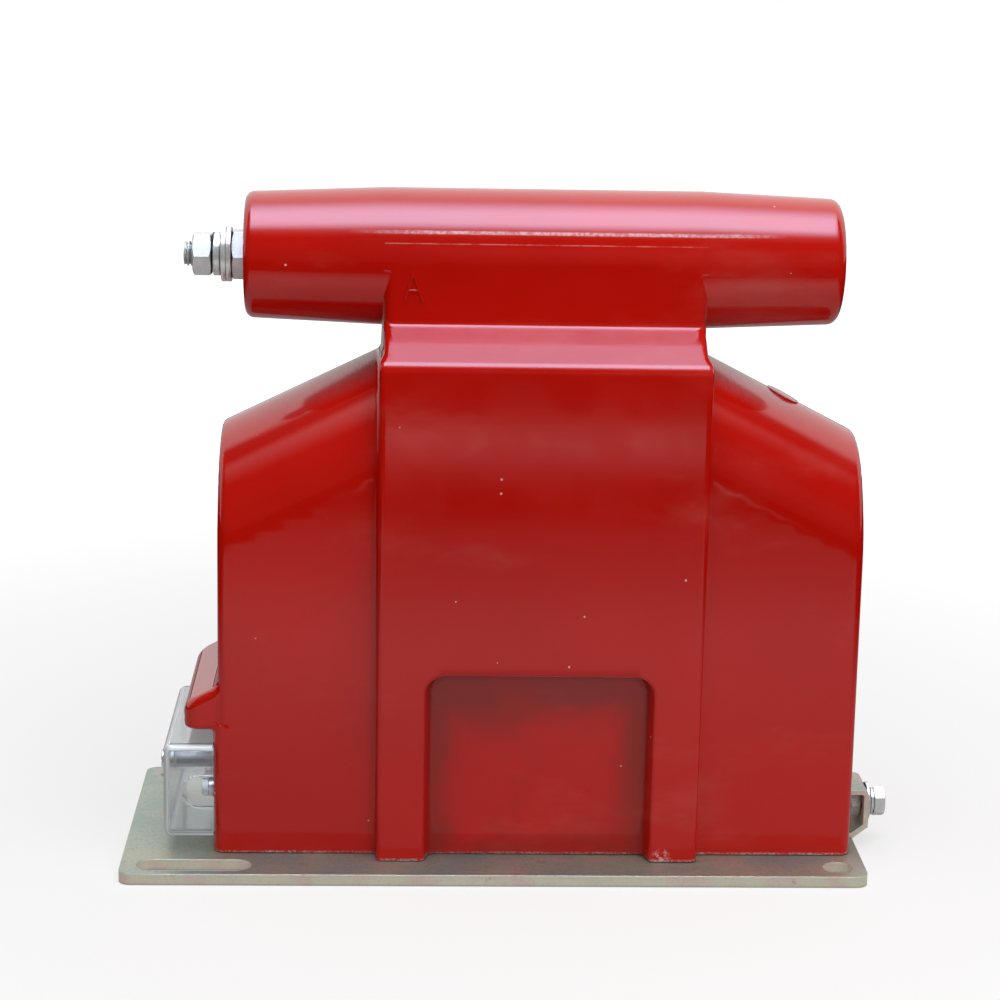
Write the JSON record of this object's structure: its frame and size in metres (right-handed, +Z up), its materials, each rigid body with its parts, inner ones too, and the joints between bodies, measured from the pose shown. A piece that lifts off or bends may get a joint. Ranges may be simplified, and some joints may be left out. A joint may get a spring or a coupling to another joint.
{
  "type": "cast resin voltage transformer",
  "caption": "Single-pole cast resin voltage transformer with a horizontal high-voltage bar on a neck, sloping wings, a base plate, a covered terminal box and an earthing bolt.",
  "frame": {"origin": "centre of the base plate's underside", "axes": "+X along the plate towards the earthing end, -Y to the front, +Z up"},
  "size_m": [0.3709, 0.148, 0.3194],
  "materials": {
    "red_resin": "satin to glossy filled epoxy resin",
    "olive_zinc": "yellow passivated zinc plate",
    "bright_zinc": "bright zinc plate",
    "clear_cover": "clear moulded polycarbonate",
    "brass": "turned",
    "copper": "enamelled copper",
    "pressboard": "varnished pressboard",
    "core_steel": "wound silicon steel strip, ground cut faces"
  },
  "bodies": {
    "root": {"base_plate": "olive_zinc", "base_screws": "bright_zinc", "base_inserts": "brass", "resin_body": "red_resin", "hv_insert": "bright_zinc", "hv_stud": "bright_zinc", "hv_washer_inner": "bright_zinc", "hv_washer_outer": "bright_zinc", "hv_spring_washer": "bright_zinc", "hv_nut": "bright_zinc", "hv_lead": "copper", "primary_shield": "copper", "primary_winding": "copper", "barrier_tube": "pressboard", "residual_winding": "copper", "secondary_winding": "copper", "winding_tube": "pressboard", "core_half_left": "core_steel", "core_half_right": "core_steel", "core_band": "bright_zinc", "band_clip": "bright_zinc", "core_earth_strip": "copper", "secondary_leads": "copper", "neutral_lead": "copper", "terminal_inserts": "brass", "terminal_flat_washers": "bright_zinc", "terminal_spring_washers": "bright_zinc", "terminal_screws": "bright_zinc", "cover_insert": "brass", "terminal_cover": "clear_cover", "cover_screw": "bright_zinc", "earth_strap": "olive_zinc", "earth_flat_washer": "bright_zinc", "earth_spring_washer": "bright_zinc", "earth_bolt": "bright_zinc", "earth_nut": "bright_zinc"}
  },
  "joints": []
}
